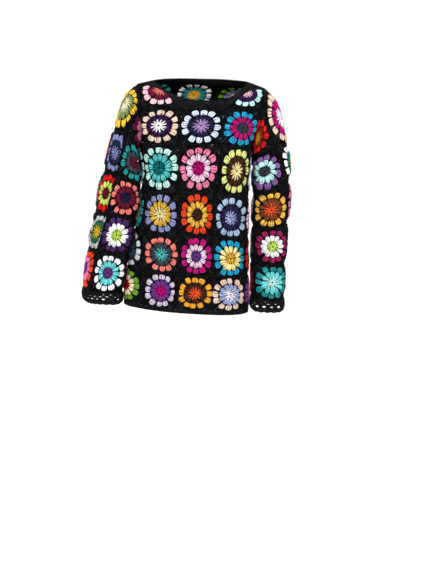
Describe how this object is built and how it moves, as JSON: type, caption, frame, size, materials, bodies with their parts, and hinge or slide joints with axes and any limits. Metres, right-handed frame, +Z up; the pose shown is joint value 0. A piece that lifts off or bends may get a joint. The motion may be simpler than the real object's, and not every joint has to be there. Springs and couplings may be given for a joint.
{
  "type": "patchwork sweater",
  "caption": "Crocheted patchwork pullover of round-motif squares in worn form, with open boat neck, long open sleeves, plain neckband and hem, and lace cuffs.",
  "frame": {"origin": "between the shoulders, level with the middle of the neckband's crest, on the line where the wearer's shoulders carry the garment", "axes": "+Z up the wearer's body, the front faces -Y, +X to the wearer's left"},
  "size_m": [0.677, 0.2288, 0.738],
  "materials": {
    "patchwork_crochet": "crocheted squares of soft yarn with a slight sheen: round motifs of three coloured rounds in a black ground, each square in its own colours",
    "black_crochet": "dense black crochet with a slight sheen and a fine scalloped edge",
    "black_lace": "openwork black crochet with rows of holes and a scalloped edge"
  },
  "bodies": {
    "root": {"front_right_row_1": "patchwork_crochet", "front_middle_row_1": "patchwork_crochet", "front_left_row_1": "patchwork_crochet", "front_right_row_2": "patchwork_crochet", "front_middle_row_2": "patchwork_crochet", "front_left_row_2": "patchwork_crochet", "front_right_row_3": "patchwork_crochet", "front_middle_row_3": "patchwork_crochet", "front_left_row_3": "patchwork_crochet", "front_right_row_4": "patchwork_crochet", "front_middle_row_4": "patchwork_crochet", "front_left_row_4": "patchwork_crochet", "front_right_row_5": "patchwork_crochet", "front_middle_row_5": "patchwork_crochet", "front_left_row_5": "patchwork_crochet", "front_right_half_square": "patchwork_crochet", "front_left_half_square": "patchwork_crochet", "back_right_row_0": "patchwork_crochet", "back_middle_row_0": "patchwork_crochet", "back_left_row_0": "patchwork_crochet", "back_right_row_1": "patchwork_crochet", "back_middle_row_1": "patchwork_crochet", "back_left_row_1": "patchwork_crochet", "back_right_row_2": "patchwork_crochet", "back_middle_row_2": "patchwork_crochet", "back_left_row_2": "patchwork_crochet", "back_right_row_3": "patchwork_crochet", "back_middle_row_3": "patchwork_crochet", "back_left_row_3": "patchwork_crochet", "back_right_row_4": "patchwork_crochet", "back_middle_row_4": "patchwork_crochet", "back_left_row_4": "patchwork_crochet", "back_right_row_5": "patchwork_crochet", "back_middle_row_5": "patchwork_crochet", "back_left_row_5": "patchwork_crochet", "side_right_row_2": "patchwork_crochet", "side_left_row_2": "patchwork_crochet", "side_right_row_3": "patchwork_crochet", "side_left_row_3": "patchwork_crochet", "side_right_row_4": "patchwork_crochet", "side_left_row_4": "patchwork_crochet", "side_right_row_5": "patchwork_crochet", "side_left_row_5": "patchwork_crochet", "sleeve_right_outer_column": "patchwork_crochet", "sleeve_right_front_column": "patchwork_crochet", "sleeve_right_inner_column": "patchwork_crochet", "sleeve_right_back_column": "patchwork_crochet", "sleeve_left_outer_column": "patchwork_crochet", "sleeve_left_front_column": "patchwork_crochet", "sleeve_left_inner_column": "patchwork_crochet", "sleeve_left_back_column": "patchwork_crochet", "neckband": "black_crochet", "hem_band": "black_crochet", "cuff_right": "black_lace", "cuff_left": "black_lace"}
  },
  "joints": []
}
